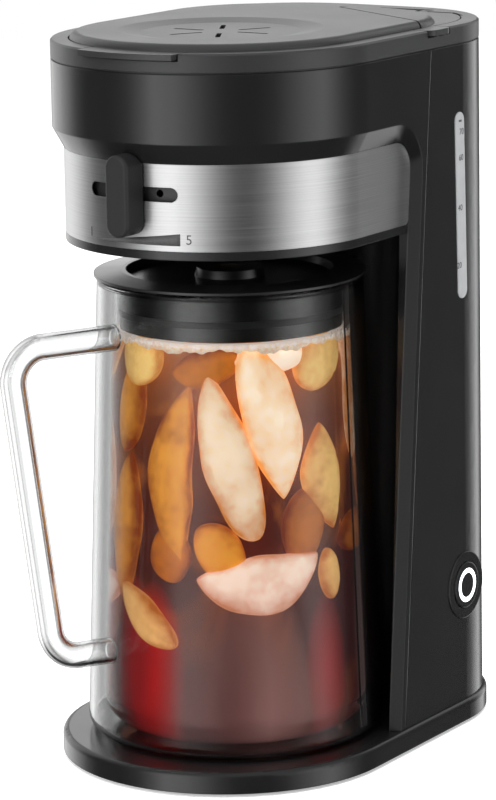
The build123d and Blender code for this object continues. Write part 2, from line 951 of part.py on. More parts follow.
with BuildPart() as tank_lid:
    add(lid_blank(False, tank_hinge_depth, tank_hinge_left, tank_hinge_right))
    tab_inner = half_width - rim_width - 2 * lid_gap
    tab_outer = half_width + tank_tab_overhang
    with BuildSketch(level(tab_bottom)):
        with Locations(((tab_inner + tab_outer) / 2, tab_middle)):
            Rectangle(tab_outer - tab_inner, tank_tab_width)
        add(lid_side(True, -2 * split_gap) & plan(rim_width), mode=Mode.SUBTRACT)
    extrude(amount=tab_thickness)
    fillet(
        tank_lid.edges().filter_by(Axis.Z).group_by(Axis.X)[-1], tank_tab_width / 4
    )
    with BuildSketch(level(tab_bottom)):
        with Locations((half_width + tank_tab_overhang / 4, tab_middle)):
            with GridLocations(0, tank_tab_width / 3, 1, 2):
                Circle(tab_post_radius)
    extrude(amount=-tab_finger_gap * 0.8)
save(tank_lid, "tank_lid")

# Strength lever and its shutter -------------------------------------------------------------

shutter_radius = slot_radius - band_thickness - wall - running_gap
lever_foot = slot_radius + running_gap
lever_face = slot_radius + lever_reach
lever_plane = Plane(
    origin=(0, brew_y, slot_height_middle), x_dir=(1, 0, 0), z_dir=(0, -1, 0)
)

with BuildPart() as strength_shutter:
    with BuildSketch(level(slot_height_middle - shutter_height / 2)):
        Circle(shutter_radius)
        Circle(shutter_radius - shutter_thickness, mode=Mode.SUBTRACT)
        with BuildLine():
            Polyline(
                (0, 0),
                (-reach * tan(radians(shutter_half_angle)), -reach),
                (reach * tan(radians(shutter_half_angle)), -reach),
                close=True,
            )
        make_face(mode=Mode.INTERSECT)
    extrude(amount=shutter_height)
    hole_turn = radians(shutter_hole_angle)
    with BuildSketch(
        Plane(origin=lever_plane.origin, z_dir=(sin(hole_turn), -cos(hole_turn), 0))
    ):
        Circle(shutter_hole_radius)
    extrude(amount=half_width, mode=Mode.SUBTRACT)
save(strength_shutter, "strength_shutter")

with BuildPart() as strength_lever:
    with BuildSketch(lever_plane.offset(lever_foot)):
        SlotOverall(lever_height, lever_width, rotation=90)
    extrude(amount=lever_face - lever_foot)
    fillet(strength_lever.faces().sort_by(Axis.Y)[0].edges(), lever_width / 8)
    with BuildSketch(lever_plane.offset(shutter_radius - shutter_thickness / 2)):
        RectangleRounded(lever_stem_width, lever_stem_height, lever_stem_height / 5)
    extrude(amount=lever_foot - shutter_radius + shutter_thickness)
    with BuildSketch(level(slot_height_middle - shutter_height / 2)):
        Circle(shutter_radius)
    extrude(amount=shutter_height, mode=Mode.SUBTRACT)
    add(
        turned(
            [
                (0, bevel_bottom - lever_clearance),
                (bay_core + lever_clearance / 2, bevel_bottom - lever_clearance),
                (half_width + lever_clearance / 2, bevel_top - lever_clearance),
                (half_width + lever_clearance / 2, rim_height),
                (0, rim_height),
            ],
            brew_axis,
            brew_section,
        ),
        mode=Mode.SUBTRACT,
    )
save(strength_lever, "strength_lever")

# Power button -------------------------------------------------------------------------------

barrel_radius = button_radius + button_gap + barrel_wall
barrel_length = button_length + 3 * button_travel + wall

with BuildPart() as button_bezel:
    with BuildSketch(button_plane.offset(-wall)):
        Circle(bezel_radius)
    extrude(amount=wall + bezel_proud)
    fillet(button_bezel.faces().sort_by(Axis.X)[-1].edges(), bezel_proud * 0.9)
    with BuildSketch(button_plane.offset(-barrel_length)):
        Circle(barrel_radius)
    extrude(amount=barrel_length)
    with BuildSketch(button_plane.offset(-barrel_length)):
        Circle(button_radius + button_gap)
    extrude(amount=barrel_length + 2 * bezel_proud, mode=Mode.SUBTRACT)
save(button_bezel, "button_bezel")

with BuildPart() as power_button:
    with BuildSketch(button_plane.offset(button_proud - button_length)):
        Circle(button_radius)
    extrude(amount=button_length)
    fillet(power_button.faces().sort_by(Axis.X)[-1].edges(), button_proud / 2)
    with BuildSketch(button_plane.offset(button_proud - light_depth)):
        Circle(light_outer)
        Circle(light_inner, mode=Mode.SUBTRACT)
    extrude(amount=light_depth, mode=Mode.SUBTRACT)
    with BuildSketch(button_plane.offset(button_proud - button_length)):
        Circle(button_radius / 4)
    extrude(amount=-(barrel_length - button_length + button_proud - 1.5 * button_travel))
save(power_button, "power_button")

with BuildPart() as light_ring:
    with BuildSketch(button_plane.offset(button_proud - light_depth)):
        Circle(light_outer)
        Circle(light_inner, mode=Mode.SUBTRACT)
    extrude(amount=light_depth)
save(light_ring, "light_ring")

with BuildPart() as switch_module:
    with BuildSketch(button_plane.offset(-barrel_length)):
        Rectangle(switch_size, switch_size)
    extrude(amount=-switch_length)
    fillet(switch_module.edges().filter_by(Axis.X), wall)
save(switch_module, "switch_module")

# Water tank and deck ------------------------------------------------------------------------

tank_step = floor_top + tank_gap + tank_wall


def tank_block(inset, bottom, step, front, upper):
    """Tank shape: the column behind front, and above step the head behind upper."""
    with BuildPart() as block:
        add(prism(wall + tank_gap + inset, bottom, deck_bottom))
        add(slab(bottom, step, -reach, front + inset), mode=Mode.SUBTRACT)
        add(slab(step, deck_bottom, -reach, upper + inset), mode=Mode.SUBTRACT)
    return block.part


with BuildSketch() as fill_hole:
    add(lid_side(False) & plan(lid_inset) & bounded(tank_hinge_depth - hinge_radius))
    offset(amount=-fill_margin, kind=Kind.ARC, mode=Mode.REPLACE)
    add(bounded(tank_upper_front + tank_wall), mode=Mode.SUBTRACT)

with BuildPart() as water_tank:
    add(tank_block(0, tank_bottom, tank_step, tank_front, tank_upper_front))
    add(
        tank_block(
            tank_wall, tank_bottom + tank_wall, tank_step + tank_wall, tank_front, tank_upper_front
        ),
        mode=Mode.SUBTRACT,
    )
save(water_tank, "water_tank")

basket_hole = basket_radius + basket_flange + running_gap
hanger_wall = wall
hanger_bottom = basket_top - wall
arm_height = basket_top + 1.5 * tube_radius + wall
riser_place = (-riser_side, riser_depth)

with BuildPart() as deck:
    add(prism(wall, deck_bottom, rim_bottom))
    with BuildSketch(level(deck_bottom)):
        Circle(basket_hole)
        add(fill_hole.sketch)
    extrude(amount=deck_thickness, mode=Mode.SUBTRACT)
    with BuildSketch(level(hanger_bottom)):
        Circle(basket_hole + hanger_wall)
        Circle(basket_hole, mode=Mode.SUBTRACT)
    extrude(amount=deck_bottom - hanger_bottom)
    with BuildSketch(level(hanger_bottom)):
        Circle(basket_hole)
        Circle(basket_radius, mode=Mode.SUBTRACT)
    extrude(amount=hanger_wall)
    arm_direction = Vector(riser_place[0], riser_place[1], 0)
    with BuildSketch(Plane(origin=(0, brew_y, arm_height), z_dir=arm_direction)):
        Circle(tube_radius)
    extrude(amount=basket_hole + 3 * hanger_wall, mode=Mode.SUBTRACT)
save(deck, "deck")

# Brewing basket, filter and outlet ----------------------------------------------------------

with BuildPart() as brew_basket:
    add(
        turned(
            [
                (nozzle_bore, basket_bottom),
                (basket_foot_radius, basket_bottom),
                (basket_radius - running_gap, hanger_bottom),
                (basket_radius - running_gap, basket_top),
                (basket_radius + basket_flange, basket_top),
                (basket_radius + basket_flange, basket_top + basket_wall),
                (basket_radius - basket_wall, basket_top + basket_wall),
                (basket_foot_radius - basket_wall, basket_bottom + basket_wall),
                (nozzle_bore, basket_bottom + basket_wall),
            ],
            brew_axis,
            brew_section,
        )
    )
save(brew_basket, "brew_basket")

filter_foot = basket_foot_radius - basket_wall - filter_gap
filter_mouth = basket_radius - basket_wall - filter_gap
filter_bottom = basket_bottom + basket_wall + 2 * filter_gap
with BuildPart() as mesh_filter:
    add(
        turned(
            [
                (0, filter_bottom),
                (filter_foot, filter_bottom),
                (filter_mouth, basket_top),
                (filter_mouth - filter_wall, basket_top),
                (filter_foot - filter_wall, filter_bottom + filter_wall),
                (0, filter_bottom + filter_wall),
            ],
            brew_axis,
            brew_section,
        )
    )
    with BuildSketch(level(basket_bottom + basket_wall)):
        with PolarLocations(filter_foot / 2, 4):
            Circle(filter_gap)
    extrude(amount=2 * filter_gap)
save(mesh_filter, "mesh_filter")

with BuildPart() as drip_nozzle:
    with BuildSketch(level(nozzle_end)):
        Circle(nozzle_radius)
        Circle(nozzle_bore, mode=Mode.SUBTRACT)
    extrude(amount=basket_bottom - nozzle_end)
save(drip_nozzle, "drip_nozzle")

# Heater and water path ----------------------------------------------------------------------

# The valve stands in the rear left corner, and the heater lies in line with it.
valve_turn = radians(valve_angle)
valve_stand = rear_corner - wall - valve_radius - valve_gap
valve_left = rear_corner - half_width - valve_stand * cos(valve_turn)
heater_rear = side_end + valve_stand * sin(valve_turn)
heater_front = heater_rear - heater_pitch
heater_left = valve_left + valve_run
heater_right = heater_left + heater_length
valve_top = tank_bottom
valve_bottom = tank_bottom - valve_length
outlet_end = (heater_left - outlet_run, heater_front)
outlet_corner = (riser_place[0], side_end + outlet_setback)


def spot(x, depth, height):
    """Point in the model from its distance across, depth and height."""
    return (x, brew_y + depth, height)


def tube(points, bend, outer, inner):
    """Hollow tube along straight runs with rounded bends."""
    with BuildPart() as run:
        with BuildLine() as path:
            FilletPolyline(*points, radius=bend)
        with BuildSketch(Plane(origin=path.line @ 0, z_dir=path.line % 0)):
            Circle(outer)
            if inner:
                Circle(inner, mode=Mode.SUBTRACT)
        sweep(path=path.line)
    return run.part


with BuildPart() as heater:
    with BuildSketch(level(heater_height - heater_size / 2)):
        with BuildLine():
            Line((heater_left, heater_front), (heater_right, heater_front))
            ThreePointArc(
                (heater_right, heater_front),
                (heater_right + (heater_rear - heater_front) / 2, (heater_front + heater_rear) / 2),
                (heater_right, heater_rear),
            )
            Line((heater_right, heater_rear), (heater_left, heater_rear))
        trace(line_width=heater_size)
    extrude(amount=heater_size)
save(heater, "heater")

with BuildPart() as heater_feet:
    with BuildSketch(level(base_height)):
        with Locations(
            (heater_left / 2, heater_front), (heater_left / 2, heater_rear)
        ):
            Rectangle(heater_size, heater_size)
    extrude(amount=heater_height - heater_size / 2 - base_height)
save(heater_feet, "heater_feet")

heater_top = heater_height + heater_size / 2
with BuildPart() as thermostat:
    with BuildSketch(level(heater_top)):
        with Locations((heater_left / 2, heater_front)):
            Circle(heater_size * 0.55)
    extrude(amount=heater_size / 2)
    with BuildSketch(level(heater_top + heater_size / 2)):
        with Locations((heater_left / 2, heater_front)):
            Rectangle(heater_size, heater_size / 4)
    extrude(amount=heater_size / 4)
save(thermostat, "thermostat")

with BuildPart() as thermal_fuse:
    fuse_radius = heater_size / 4
    with BuildSketch(
        Plane(origin=spot(heater_left / 2, heater_rear, heater_top + fuse_radius), z_dir=(1, 0, 0))
    ):
        Circle(fuse_radius)
    extrude(amount=heater_size * 1.2)
save(thermal_fuse, "thermal_fuse")

with BuildPart() as inlet_hose:
    add(
        tube(
            [
                spot(heater_left, heater_rear, heater_height),
                spot(valve_left, heater_rear, heater_height),
                spot(valve_left, heater_rear, valve_bottom),
            ],
            heater_size * 0.8,
            tube_radius,
            tube_bore,
        )
    )
save(inlet_hose, "inlet_hose")

with BuildPart() as check_valve:
    with BuildSketch(level(valve_bottom)):
        with Locations((valve_left, heater_rear)):
            Circle(valve_radius)
            Circle(tube_bore, mode=Mode.SUBTRACT)
    extrude(amount=valve_top - valve_bottom)
save(check_valve, "check_valve")

with BuildPart() as riser_tube:
    add(
        tube(
            [
                spot(heater_left, heater_front, heater_height),
                spot(*outlet_end, heater_height),
                spot(*outlet_corner, heater_height),
                spot(*riser_place, heater_height),
                spot(*riser_place, arm_height),
                spot(0, 0, arm_height),
            ],
            [tube_bend, tube_bend, tube_bend, arm_bend],
            tube_radius,
            tube_bore,
        )
    )
    with BuildSketch(level(basket_top)):
        Circle(basket_radius / 2)
    extrude(amount=rim_height - basket_top, mode=Mode.SUBTRACT)
save(riser_tube, "riser_tube")

with BuildPart() as spray_head:
    with BuildSketch(level(basket_top + basket_wall)):
        Circle(basket_radius / 2)
    extrude(amount=arm_height + tube_radius + 1 - basket_top - basket_wall)
    with BuildSketch(level(basket_top + basket_wall + 1.5)):
        Circle(basket_radius / 2 - 1.5)
    extrude(amount=2 * tube_radius, mode=Mode.SUBTRACT)
    with BuildSketch(level(basket_top)):
        with PolarLocations(basket_radius / 3, 8):
            Circle(1)
    extrude(amount=2 * basket_wall, mode=Mode.SUBTRACT)
    with BuildSketch(Plane(origin=(0, brew_y, arm_height), z_dir=arm_direction)):
        Circle(tube_bore)
    extrude(amount=basket_radius, mode=Mode.SUBTRACT)
save(spray_head, "spray_head")

with BuildPart() as cord_gland:
    with BuildSketch(gland_plane.offset(-3 * wall)):
        Circle(gland_radius)
    extrude(amount=3 * wall + gland_seat)
    with BuildSketch(gland_plane.offset(gland_seat)):
        Circle(gland_flange)
    extrude(amount=gland_proud)
    fillet(cord_gland.faces().sort_by(Axis.Y)[-1].edges(), gland_proud / 2)
    with BuildSketch(gland_plane.offset(-3 * wall)):
        Circle(gland_bore)
    extrude(amount=3 * wall + gland_seat + gland_proud, mode=Mode.SUBTRACT)
save(cord_gland, "cord_gland")

# Pitcher ------------------------------------------------------------------------------------

ledge_z = pitcher_rim - rim_land
inner_foot_z = foot_z + glass + jacket_floor
inset_total = glass + jacket
pitcher_taper = (pitcher_foot_radius - pitcher_rim_radius) / (pitcher_rim - foot_z)


def pitcher_radius(height):
    """Outside radius of the pitcher's straight-sided wall at a height."""
    return pitcher_foot_radius - (height - foot_z) * pitcher_taper


def rounded_turn(points, radii):
    """Solid turned about the pitcher's axis, with rounded section corners {index: radius}."""
    with BuildPart() as piece:
        with BuildSketch(pitcher_section) as section:
            with BuildLine():
                Polyline(*points, close=True)
            make_face()
            for index, radius in radii.items():
                corner = Vector(*points[index])
                fillet(section.vertices().sort_by_distance(corner)[0], radius)
        revolve(axis=pitcher_axis)
    return piece.part


outer_points = [
    (0, foot_z),
    (pitcher_radius(foot_z), foot_z),
    (pitcher_radius(ledge_z), ledge_z),
    (pitcher_radius(ledge_z) - glass, ledge_z),
    (pitcher_radius(foot_z + glass) - glass, foot_z + glass),
    (0, foot_z + glass),
]
with BuildPart() as pitcher_outer_wall:
    add(rounded_turn(outer_points, {1: pitcher_foot_edge, 4: pitcher_foot_edge - glass}))
save(pitcher_outer_wall, "pitcher_outer_wall")

inner_points = [
    (0, inner_foot_z),
    (pitcher_radius(inner_foot_z) - inset_total, inner_foot_z),
    (pitcher_radius(ledge_z) - inset_total, ledge_z),
    (pitcher_radius(ledge_z), ledge_z),
    (pitcher_radius(pitcher_rim), pitcher_rim),
    (pitcher_radius(pitcher_rim) - inset_total - glass, pitcher_rim),
    (pitcher_radius(inner_foot_z + glass) - inset_total - glass, inner_foot_z + glass),
    (0, inner_foot_z + glass),
]
inner_edge = 2 * pitcher_foot_edge
with BuildPart() as pitcher_inner_wall:
    add(
        rounded_turn(
            inner_points, {1: inner_edge, 4: rim_land / 2, 5: rim_land / 3, 6: inner_edge - glass}
        )
    )
save(pitcher_inner_wall, "pitcher_inner_wall")

# The handle is a bent glass tube, fused to the outer wall at both ends.
turn = radians(handle_turn)
handle_plane = Plane(
    origin=(0, pitcher_y, 0), x_dir=(-sin(turn), -cos(turn), 0), z_dir=(-cos(turn), sin(turn), 0)
)
with BuildPart() as pitcher_handle:
    handle_points = [
        (pitcher_rim_radius - 2 * handle_radius, handle_top),
        (handle_reach, handle_top),
        (handle_lower_reach, handle_bottom),
        (pitcher_rim_radius - 2 * handle_radius, handle_bottom - handle_wall),
    ]
    add(
        tube(
            [handle_plane.from_local_coords((x, z, 0)) for x, z in handle_points],
            handle_bend,
            handle_radius,
            handle_radius - handle_wall,
        )
    )
    add(rounded_turn(outer_points[:3] + [(0, ledge_z)], {1: pitcher_foot_edge}), mode=Mode.SUBTRACT)
save(pitcher_handle, "pitcher_handle")

# Pitcher lid: a flange with a raised ring, a skirt inside the mouth, an inlet and a pouring lip.
mouth_radius = pitcher_radius(pitcher_rim) - inset_total - glass
skirt_radius = mouth_radius - pourer_gap
skirt_z = flange_z - pourer_skirt
seal_z = skirt_z + 2 * seal_height
with BuildPart() as pitcher_lid:
    add(
        turned(
            [
                (inlet_bore, pourer_floor - dish_wall),
                (inlet_bore, inlet_top),
                (inlet_radius, inlet_top),
                (inlet_radius + 1, pourer_floor),
                (pourer_crest_inner, pourer_floor),
                (pourer_crest_inner + 1, pourer_crest),
                (pourer_crest_outer, pourer_crest),
                (pourer_flange, flange_z + pourer_edge),
                (pourer_flange, flange_z),
                (skirt_radius, flange_z),
                (skirt_radius, skirt_z),
                (skirt_radius - pourer_wall, skirt_z),
                (skirt_radius - pourer_wall, pourer_floor - dish_wall),
            ],
            pitcher_axis,
            pitcher_section,
        )
    )
    with BuildSketch(Plane((0, pitcher_y, flange_z)).rotated((0, 0, -handle_turn))):
        with BuildLine():
            Polyline(
                (-pourer_lip_width / 2, pourer_crest_outer),
                (-pourer_lip_width / 6, pourer_lip),
                (pourer_lip_width / 6, pourer_lip),
                (pourer_lip_width / 2, pourer_crest_outer),
                close=True,
            )
        make_face()
    extrude(amount=pourer_edge)
    with BuildSketch(Plane((0, pitcher_y, seal_z))):
        Circle(skirt_radius)
        Circle(skirt_radius - seal_depth, mode=Mode.SUBTRACT)
    extrude(amount=seal_height, mode=Mode.SUBTRACT)
save(pitcher_lid, "pitcher_lid")

with BuildPart() as lid_seal:
    with BuildSketch(Plane((0, pitcher_y, seal_z))):
        Circle(skirt_radius + pourer_gap / 2)
        Circle(skirt_radius - seal_depth, mode=Mode.SUBTRACT)
    extrude(amount=seal_height)
save(lid_seal, "lid_seal")
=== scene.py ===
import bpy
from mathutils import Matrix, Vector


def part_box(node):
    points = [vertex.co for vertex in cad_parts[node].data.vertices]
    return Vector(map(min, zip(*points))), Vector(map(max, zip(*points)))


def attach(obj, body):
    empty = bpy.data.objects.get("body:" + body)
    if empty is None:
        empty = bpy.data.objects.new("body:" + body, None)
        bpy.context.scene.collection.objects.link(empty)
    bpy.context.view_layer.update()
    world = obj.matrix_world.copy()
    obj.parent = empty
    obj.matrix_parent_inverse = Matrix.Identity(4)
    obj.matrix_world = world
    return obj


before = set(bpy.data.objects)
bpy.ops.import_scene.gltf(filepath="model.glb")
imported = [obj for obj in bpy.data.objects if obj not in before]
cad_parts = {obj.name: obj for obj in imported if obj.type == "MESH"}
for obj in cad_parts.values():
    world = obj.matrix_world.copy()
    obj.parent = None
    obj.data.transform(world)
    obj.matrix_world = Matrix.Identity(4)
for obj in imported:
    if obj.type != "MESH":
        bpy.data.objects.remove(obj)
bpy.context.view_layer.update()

import math

import bmesh
import bpy
from mathutils import Matrix, Vector, noise


# Plinth: a hollow moulding in glossy black plastic, with a rounded top edge. A flat cover closes
# it from below and is held by four screws; the finish has a faint flow mottle and soft edges.
grain_depth = 0.0002


class Wire:
    """A shader socket; arithmetic on it adds Math nodes."""

    def __init__(self, finish, socket):
        self.finish, self.socket = finish, socket

    def maths(self, operation, first, second):
        return self.finish.node("ShaderNodeMath", {"operation": operation}, {0: first, 1: second})

    def __add__(self, other):
        return self.maths("ADD", self, other)

    def __radd__(self, other):
        return self.maths("ADD", other, self)

    def __sub__(self, other):
        return self.maths("SUBTRACT", self, other)

    def __rsub__(self, other):
        return self.maths("SUBTRACT", other, self)

    def __mul__(self, other):
        return self.maths("MULTIPLY", self, other)

    def __rmul__(self, other):
        return self.maths("MULTIPLY", other, self)

    def __truediv__(self, other):
        return self.maths("DIVIDE", self, other)

    def __pow__(self, other):
        return self.maths("POWER", self, other)

    def __abs__(self):
        return self.finish.node("ShaderNodeMath", {"operation": "ABSOLUTE"}, {0: self})

    def share(self):
        """The same value, held between 0 and 1."""
        return self.finish.node("ShaderNodeClamp", {}, {"Value": self})


class Finish:
    """The nodes of one finish: a shader, its output and whatever feeds them."""

    def __init__(self, owner, shader="ShaderNodeBsdfPrincipled", output="ShaderNodeOutputMaterial"):
        owner.use_nodes = True
        self.owner, self.tree = owner, owner.node_tree
        self.tree.nodes.clear()
        self.shader = self.tree.nodes.new(shader)
        self.output = self.tree.nodes.new(output)
        self.tree.links.new(self.shader.outputs[0], self.output.inputs[0])

    def join(self, socket, value):
        if isinstance(value, Wire):
            self.tree.links.new(value.socket, socket)
        else:
            socket.default_value = value

    def feed(self, sockets):
        for name, value in sockets.items():
            self.join(self.shader.inputs[name], value)

    def node(self, kind, settings, sockets, out=0):
        made = self.tree.nodes.new(kind)
        for name, value in settings.items():
            if name == "stops":
                stops = made.color_ramp.elements
                while len(stops) < len(value):
                    stops.new(0.5)
                for stop, (position, colour) in zip(stops, value):
                    stop.position, stop.color = position, (*colour, 1)
            else:
                setattr(made, name, value)
        for name, value in sockets.items():
            self.join(made.inputs[name], value)
        return Wire(self, made.outputs[out])


def dress(finish, *nodes):
    """Give moulded pieces their finish."""
    for node in nodes:
        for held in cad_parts[node].material_slots:
            held.material = finish.owner


def on_piece(finish):
    """Coordinates in metres that stay with the piece."""
    return finish.node("ShaderNodeTexCoord", {}, {}, "Object")


def mottle(finish, scale, detail=2.0):
    """Cloudy pattern from 0 to 1."""
    place = on_piece(finish)
    return finish.node(
        "ShaderNodeTexNoise", {}, {"Vector": place, "Scale": scale, "Detail": detail}
    )


def blended(finish, share, first, second):
    """Colour that goes from the first to the second as the share grows."""
    first, second = (end if isinstance(end, Wire) else (*end, 1) for end in (first, second))
    return finish.node("ShaderNodeMix", {"data_type": "RGBA"}, {0: share, 6: first, 7: second}, 2)


def softened(finish, radius, grain=0.0, scale=1.0, stretch=(1, 1, 1)):
    """Normal of a moulding with rounded edges and a fine grain on its faces."""
    edge = finish.node("ShaderNodeBevel", {"samples": 4}, {"Radius": radius})
    if not grain:
        return edge
    spread = finish.node("ShaderNodeMapping", {}, {"Vector": on_piece(finish), "Scale": stretch})
    speckle = finish.node(
        "ShaderNodeTexNoise", {}, {"Vector": spread, "Scale": scale, "Detail": 2.0}
    )
    return finish.node(
        "ShaderNodeBump",
        {},
        {"Strength": grain, "Distance": grain_depth, "Height": speckle, "Normal": edge},
    )


gloss = Finish(bpy.data.materials.new("black_gloss"))
flow = mottle(gloss, 45.0)
gloss.feed({
    "Base Color": (0.009, 0.009, 0.0095, 1),
    "Roughness": 0.13 + 0.07 * flow,
    "IOR": 1.5,
    "Normal": softened(gloss, 0.0007, 0.12, 60.0),
})
dress(gloss, "base_housing")

satin = Finish(bpy.data.materials.new("black_satin"))
wear = mottle(satin, 30.0, 4.0)
satin.feed({
    "Base Color": (0.021, 0.021, 0.022, 1),
    "Roughness": 0.33 + 0.08 * wear,
    "IOR": 1.5,
    "Normal": softened(satin, 0.0005, 0.35, 2600.0),
})
dress(satin, "bottom_cover")

drawn = Finish(bpy.data.materials.new("drawn_steel"))
drawn.feed({
    "Base Color": (0.5, 0.5, 0.51, 1),
    "Metallic": 1.0,
    "Roughness": 0.3,
    "Normal": softened(drawn, 0.0003, 0.3, 1500.0, (8, 1, 1)),
})
dress(drawn, "bottom_screws", "brew_hinge_pin", "tank_hinge_pin")


# Feet and cord gland: soft black rubber, pushed through holes in the cover and the rear wall.
# Rubber is dull, with a slight bloom on its faces.
rubber = Finish(bpy.data.materials.new("black_rubber"))
bloom = mottle(rubber, 220.0, 4.0)
shade = blended(rubber, bloom, (0.014, 0.014, 0.015), (0.032, 0.032, 0.034))
rubber.feed({
    "Base Color": shade,
    "Roughness": 0.7,
    "Normal": softened(rubber, 0.0004, 0.5, 900.0),
})
dress(rubber, "rubber_feet", "cord_gland")


# Body shells: the front shell with the hollow column front and the brewing head, and the rear
# housing behind the slanted seam. Both are glossy black mouldings, as the plinth is.
dress(gloss, "front_shell", "rear_housing")


# Steel band: stainless sheet, 0.6 mm thick, rolled round the head and brushed along its length.
# The brushing leaves long streaks that change how shiny each line is.
steel = Finish(bpy.data.materials.new("brushed_steel"))
brushing = (14.0, 14.0, 2600.0)
along = steel.node("ShaderNodeMapping", {}, {"Vector": on_piece(steel), "Scale": brushing})
streak = steel.node("ShaderNodeTexNoise", {}, {"Vector": along, "Scale": 1.0, "Detail": 5.0})
tone = blended(steel, streak, (0.40, 0.40, 0.405), (0.70, 0.70, 0.705))
edge = steel.node("ShaderNodeBevel", {"samples": 4}, {"Radius": 0.0004})
brushed = steel.node(
    "ShaderNodeBump", {}, {"Strength": 0.5, "Distance": 0.0001, "Height": streak, "Normal": edge}
)
steel.feed({
    "Base Color": tone,
    "Metallic": 1.0,
    "Roughness": 0.26 + 0.16 * streak,
    "Normal": brushed,
})
dress(steel, "steel_band")


# Strength scale: a printed wedge that thickens towards the strong end, with a plain number at
# each end. The print is a thin layer of grey ink on the steel.
band_low, band_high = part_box("steel_band")
band_radius = band_high.x
brew_y = band_low.y + band_radius
ink_thickness = 0.00008

ink = Finish(bpy.data.materials.new("grey_ink"))
patchy = mottle(ink, 900.0)
tint = blended(ink, patchy, (0.045, 0.045, 0.045), (0.075, 0.075, 0.075))
ink.feed({"Base Color": tint, "Roughness": 0.5})


def piece(name, mesh, finish, body, smooth=True):
    """Add a made mesh to the object, with its finish and the body it rides on."""
    made = bpy.data.objects.new(name, mesh)
    bpy.context.scene.collection.objects.link(made)
    mesh.materials.clear()
    mesh.materials.append(finish.owner)
    if smooth:
        for face in mesh.polygons:
            face.use_smooth = True
    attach(made, body)
    return made


def on_band(arc, height, out=0.0):
    """Point at an arc from the band's front, a height, and a distance off its face."""
    turn, radius = arc / band_radius, band_radius + out
    return radius * math.sin(turn), brew_y - radius * math.cos(turn), height


def finished(mesh, name):
    """Blender mesh of a made form, with all its faces turned outwards."""
    bmesh.ops.recalc_face_normals(mesh, faces=mesh.faces)
    made = bpy.data.meshes.new(name)
    mesh.to_mesh(made)
    return made


def print_on_band(name, outline):
    """Closed print of rows of (arc, height) pairs, bent round the steel band."""
    mesh = bmesh.new()
    inner, outer = (
        [[mesh.verts.new(on_band(arc, height, out)) for arc, height in row] for row in outline]
        for out in (0.0, ink_thickness)
    )
    last_row, last_spot = len(outline) - 1, len(outline[0]) - 1
    for row in range(last_row):
        for spot in range(last_spot):
            quad = ((row, spot), (row, spot + 1), (row + 1, spot + 1), (row + 1, spot))
            mesh.faces.new([outer[r][s] for r, s in quad])
            mesh.faces.new([inner[r][s] for r, s in reversed(quad)])
    rim = (
        [(0, s) for s in range(last_spot)]
        + [(r, last_spot) for r in range(last_row)]
        + [(last_row, s) for s in range(last_spot, 0, -1)]
        + [(r, 0) for r in range(last_row, 0, -1)]
    )
    for (r, s), (r2, s2) in zip(rim, rim[1:] + rim[:1]):
        mesh.faces.new((inner[r][s], inner[r2][s2], outer[r2][s2], outer[r][s]))
    return finished(mesh, name)


wedge_left, wedge_right = -0.0227, 0.0223
wedge_foot, wedge_thin, wedge_rise = 0.2464, 0.0003, 0.0050
steps = 24
lower, upper = [], []
for step in range(steps + 1):
    arc = wedge_left + (wedge_right - wedge_left) * step / steps
    lower.append((arc, wedge_foot))
    upper.append((arc, wedge_foot + wedge_thin + wedge_rise * step / steps))
piece("strength_wedge", print_on_band("strength_wedge", [lower, upper]), ink, "root")
capital_share = 0.7


def figures(name, text, height, thickness):
    """Flat number of a given height, standing in its own x and y from the middle."""
    curve = bpy.data.curves.new(name, "FONT")
    curve.body, curve.size = text, height / capital_share
    curve.extrude = thickness / 2
    curve.align_x, curve.align_y = "CENTER", "CENTER"
    holder = bpy.data.objects.new(name + "_curve", curve)
    bpy.context.scene.collection.objects.link(holder)
    bpy.context.view_layer.update()
    mesh = bpy.data.meshes.new_from_object(holder)
    bpy.data.objects.remove(holder)
    return mesh


number_height, number_middle = 0.0042, 0.0026
for name, text, arc in (("strength_low_mark", "1", -0.0262), ("strength_high_mark", "5", 0.0262)):
    mark = figures(name, text, number_height, 2 * ink_thickness)
    for vertex in mark.vertices:
        x, y, out = vertex.co
        vertex.co = on_band(arc + x, wedge_foot + number_middle + y, out)
    piece(name, mark, ink, "root", smooth=False)


# Top rim and lids: satin black mouldings. The brewing lid has a shallow dish with six vents, and
# both lids turn on steel pins at their rear edges.
dress(satin, "top_rim", "brew_lid", "tank_lid")


# Strength lever: a satin black bar on a curved shutter that slides behind the slot in the band.
# It is moulded with soft edges and a fine grain, and its neck passes through the slot.
lever = Finish(bpy.data.materials.new("lever_satin"))
wear = mottle(lever, 60.0, 4.0)
lever.feed({
    "Base Color": (0.016, 0.016, 0.017, 1),
    "Roughness": 0.40 + 0.08 * wear,
    "Specular IOR Level": 0.28,
    "Normal": softened(lever, 0.0011, 0.3, 2600.0),
})
dress(lever, "strength_lever")
dress(satin, "strength_shutter")


# Power button: a glossy black cap in a stepped bezel, with a moulded light guide round its
# middle that glows white, and a closed switch behind it.
dress(gloss, "button_bezel", "power_button")
glow = Finish(bpy.data.materials.new("light_guide"))
uneven = mottle(glow, 180.0)
white = blended(glow, uneven, (0.86, 0.92, 1.0), (1.0, 1.0, 1.0))
glow.feed({
    "Base Color": (0.9, 0.93, 0.97, 1),
    "Roughness": 0.35,
    "Emission Color": white,
    "Emission Strength": 2.4,
})
dress(glow, "light_ring")
dress(satin, "switch_module")


# Level window: a strip of frosted clear plastic snapped into the rear housing, with the fill
# marks printed on it in grey.
frost = Finish(bpy.data.materials.new("frosted_window"))
cloud = mottle(frost, 120.0, 3.0)
milk = blended(frost, cloud, (0.40, 0.41, 0.42), (0.52, 0.53, 0.54))
frost.feed({
    "Base Color": milk,
    "Roughness": 0.28,
    "Transmission Weight": 0.15,
    "Normal": softened(frost, 0.0006, 0.2, 900.0),
})
dress(frost, "level_window")

